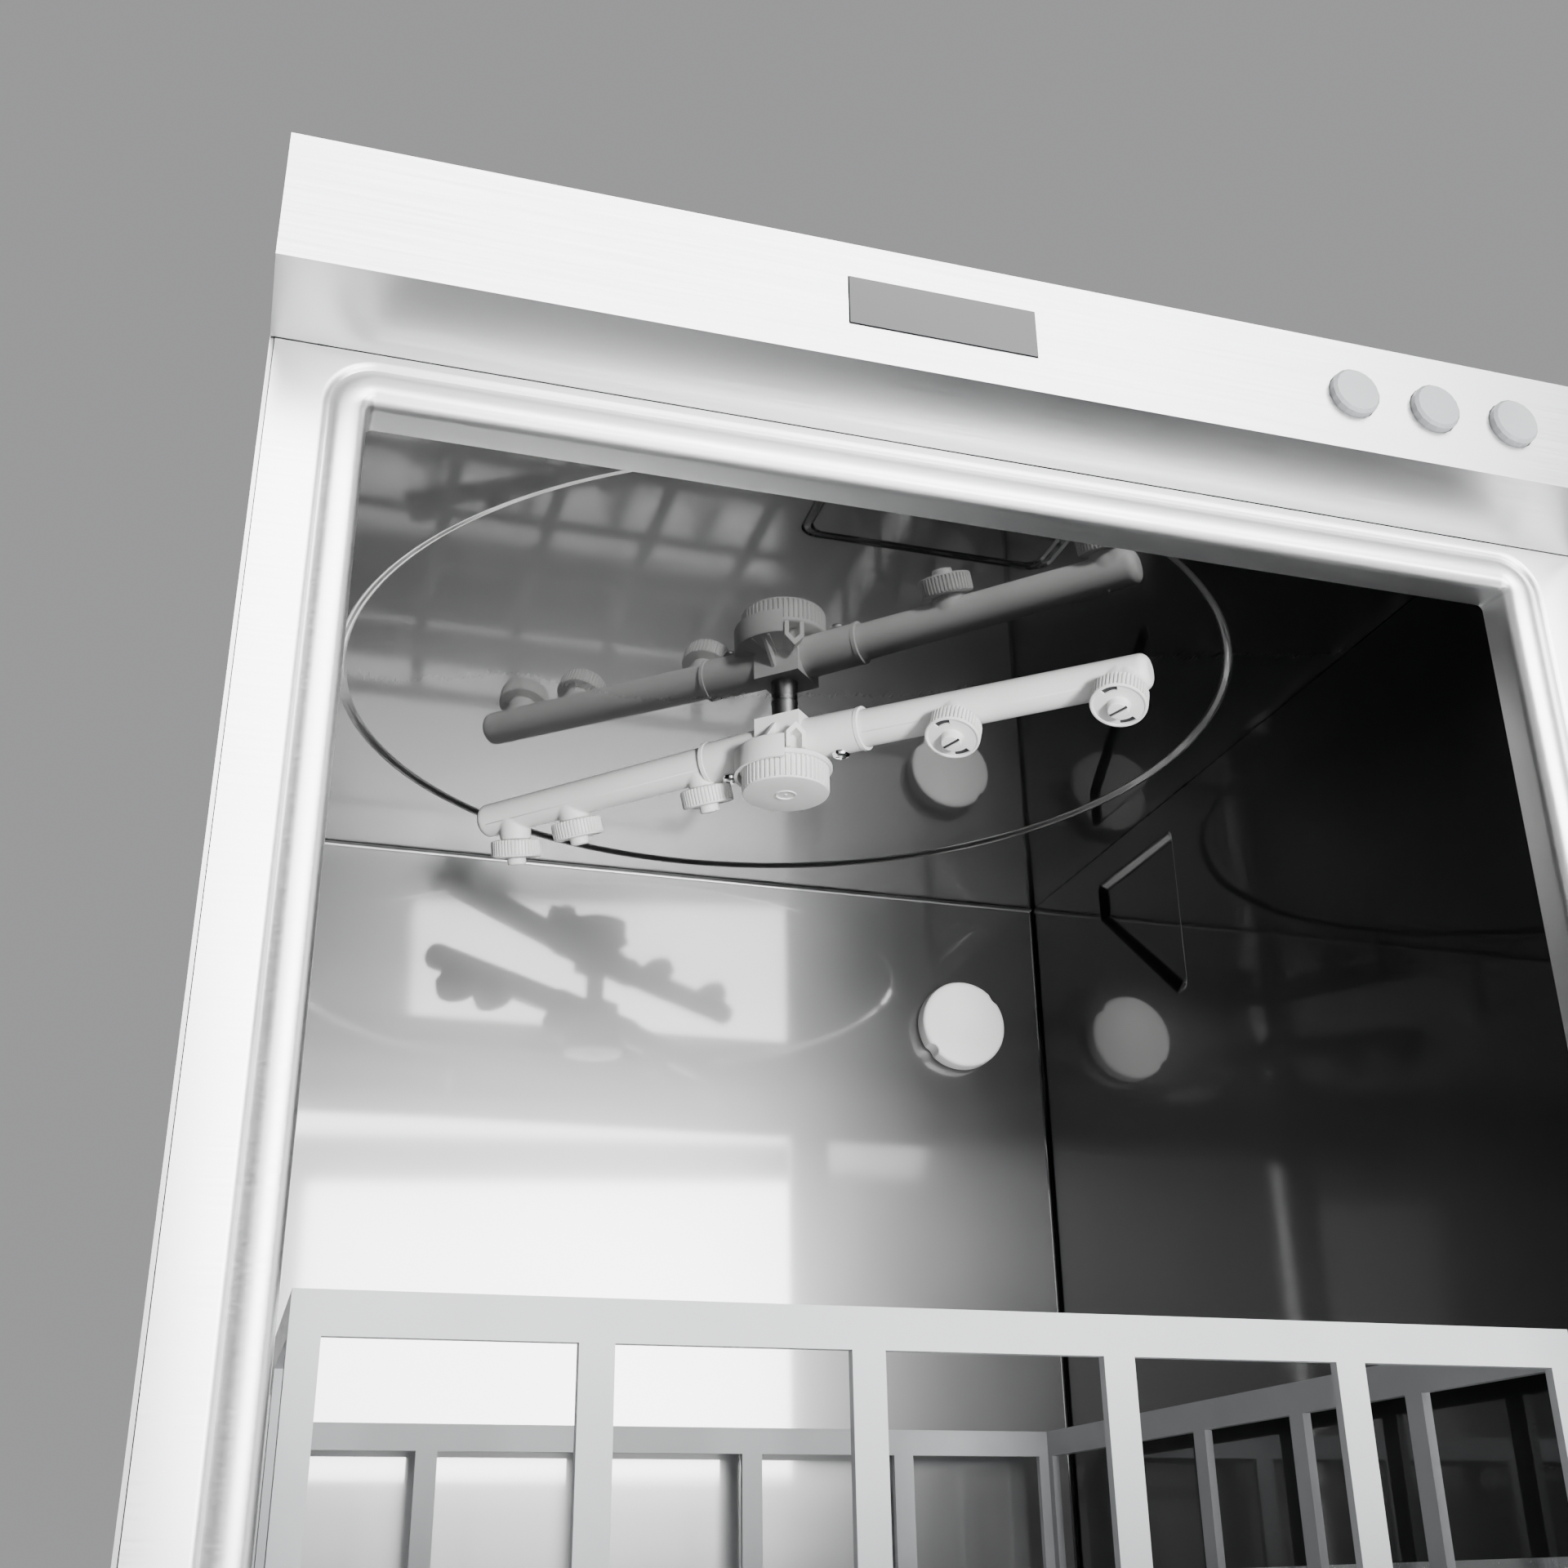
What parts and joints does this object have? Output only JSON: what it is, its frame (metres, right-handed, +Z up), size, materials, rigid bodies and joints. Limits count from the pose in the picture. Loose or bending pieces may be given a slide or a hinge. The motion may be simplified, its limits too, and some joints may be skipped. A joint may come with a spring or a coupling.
{
  "type": "undercounter glass washer",
  "caption": "Front-loading glass washing machine with an open drop-down door, a pressed steel wash chamber, rotating spray arms above and below a sliding rack, a sump tank and a wash pump.",
  "frame": {"origin": "bottom centre of the machine's bounding box, with the door lying open, on the floor under the feet", "axes": "+Z up, the door and the loading side face -Y, +X to the right of someone standing in front of the machine"},
  "size_m": [0.47, 0.901, 0.705],
  "materials": {
    "steel": "satin",
    "chamber_steel": "semi-bright rolled sheet",
    "brushed": "brushed",
    "fascia": "satin",
    "white_plastic": "satin moulded",
    "grey_plastic": "satin moulded",
    "black_plastic": "matt moulded",
    "rack_plastic": "satin moulded",
    "rubber": "matt",
    "chrome": "bright",
    "brass": "satin",
    "painted": "semi-matt",
    "dark_glass": "gloss"
  },
  "bodies": {
    "cabinet": {"base_tray": "steel", "front_frame": "steel", "rack_rail_left": "steel", "rack_rail_right": "steel", "upper_spindle": "steel", "lower_spindle": "steel", "filter_tray": "steel", "heating_element": "steel", "riser_pipe": "steel", "rinse_boiler": "steel", "chamber_ceiling": "chamber_steel", "chamber_left_wall": "chamber_steel", "chamber_right_wall": "chamber_steel", "chamber_back_wall": "chamber_steel", "tank": "chamber_steel", "left_side_panel": "brushed", "right_side_panel": "brushed", "top_panel": "brushed", "back_panel": "brushed", "lower_front_panel": "brushed", "control_fascia": "fascia", "wall_cap": "white_plastic", "drain_outlet": "black_plastic", "cable_gland": "black_plastic", "pump_volute": "black_plastic", "suction_hose": "rubber", "delivery_hose": "rubber", "water_inlet": "brass", "pump_motor": "painted", "display_window": "dark_glass"},
    "door": {"door_outer_panel": "brushed", "door_inner_panel": "chamber_steel", "door_seal": "rubber", "door_hinge_rod": "steel", "door_handle": "steel"},
    "upper_spray_arm": {"upper_arm_hub": "white_plastic", "upper_arm_nut": "white_plastic", "upper_arm_tube_left": "white_plastic", "upper_arm_tube_right": "white_plastic", "upper_arm_screw_left": "chrome", "upper_arm_screw_right": "chrome", "upper_nozzle_left_1": "white_plastic", "upper_nozzle_left_2": "white_plastic", "upper_nozzle_left_3": "white_plastic", "upper_nozzle_right_1": "white_plastic", "upper_nozzle_right_2": "white_plastic"},
    "lower_spray_arm": {"lower_arm_hub": "white_plastic", "lower_arm_tube_left": "white_plastic", "lower_arm_tube_right": "white_plastic"},
    "rack": {"glass_rack": "rack_plastic"},
    "standpipe": {"overflow_standpipe": "grey_plastic"},
    "power_key": {"power_button": "grey_plastic"},
    "cycle_key": {"cycle_button": "grey_plastic"},
    "start_key": {"start_button": "grey_plastic"},
    "pump_shaft": {"pump_rotor": "steel"},
    "levelling_foot_front_left": {"foot_front_left": "black_plastic"},
    "levelling_foot_front_right": {"foot_front_right": "black_plastic"},
    "levelling_foot_rear_left": {"foot_rear_left": "black_plastic"},
    "levelling_foot_rear_right": {"foot_rear_right": "black_plastic"}
  },
  "joints": [
    {"name": "door_hinge", "type": "hinge", "parent": "cabinet", "child": "door", "pos_m": [0, -0.0665, 0.272], "axis": [-1, 0, 0], "range_deg": [0, 90]},
    {"name": "upper_arm_spin", "type": "hinge", "parent": "cabinet", "child": "upper_spray_arm", "pos_m": [0, 0.1885, 0.6613], "axis": [0, 0, 1], "continuous": true},
    {"name": "lower_arm_spin", "type": "hinge", "parent": "cabinet", "child": "lower_spray_arm", "pos_m": [0, 0.1885, 0.272], "axis": [0, 0, 1], "continuous": true},
    {"name": "rack_slide", "type": "slide", "parent": "cabinet", "child": "rack", "axis": [0, 1, 0], "range_m": [-0.25, 0]},
    {"name": "standpipe_lift", "type": "slide", "parent": "cabinet", "child": "standpipe", "axis": [0, 0, 1], "range_m": [0, 0.03]},
    {"name": "power_press", "type": "slide", "parent": "cabinet", "child": "power_key", "axis": [0, 1, 0], "range_m": [0, 0.002], "stiffness_N_per_m": 300},
    {"name": "cycle_press", "type": "slide", "parent": "cabinet", "child": "cycle_key", "axis": [0, 1, 0], "range_m": [0, 0.002], "stiffness_N_per_m": 300},
    {"name": "start_press", "type": "slide", "parent": "cabinet", "child": "start_key", "axis": [0, 1, 0], "range_m": [0, 0.002], "stiffness_N_per_m": 300},
    {"name": "pump_shaft_spin", "type": "hinge", "parent": "cabinet", "child": "pump_shaft", "pos_m": [0, 0.0685, 0.112], "axis": [1, 0, 0], "continuous": true},
    {"name": "foot_front_left_turn", "type": "hinge", "parent": "cabinet", "child": "levelling_foot_front_left", "pos_m": [-0.191, -0.0075, 0.03], "axis": [0, 0, 1], "continuous": true},
    {"name": "foot_front_right_turn", "type": "hinge", "parent": "cabinet", "child": "levelling_foot_front_right", "pos_m": [0.191, -0.0075, 0.03], "axis": [0, 0, 1], "continuous": true},
    {"name": "foot_rear_left_turn", "type": "hinge", "parent": "cabinet", "child": "levelling_foot_rear_left", "pos_m": [-0.191, 0.3945, 0.03], "axis": [0, 0, 1], "continuous": true},
    {"name": "foot_rear_right_turn", "type": "hinge", "parent": "cabinet", "child": "levelling_foot_rear_right", "pos_m": [0.191, 0.3945, 0.03], "axis": [0, 0, 1], "continuous": true}
  ]
}
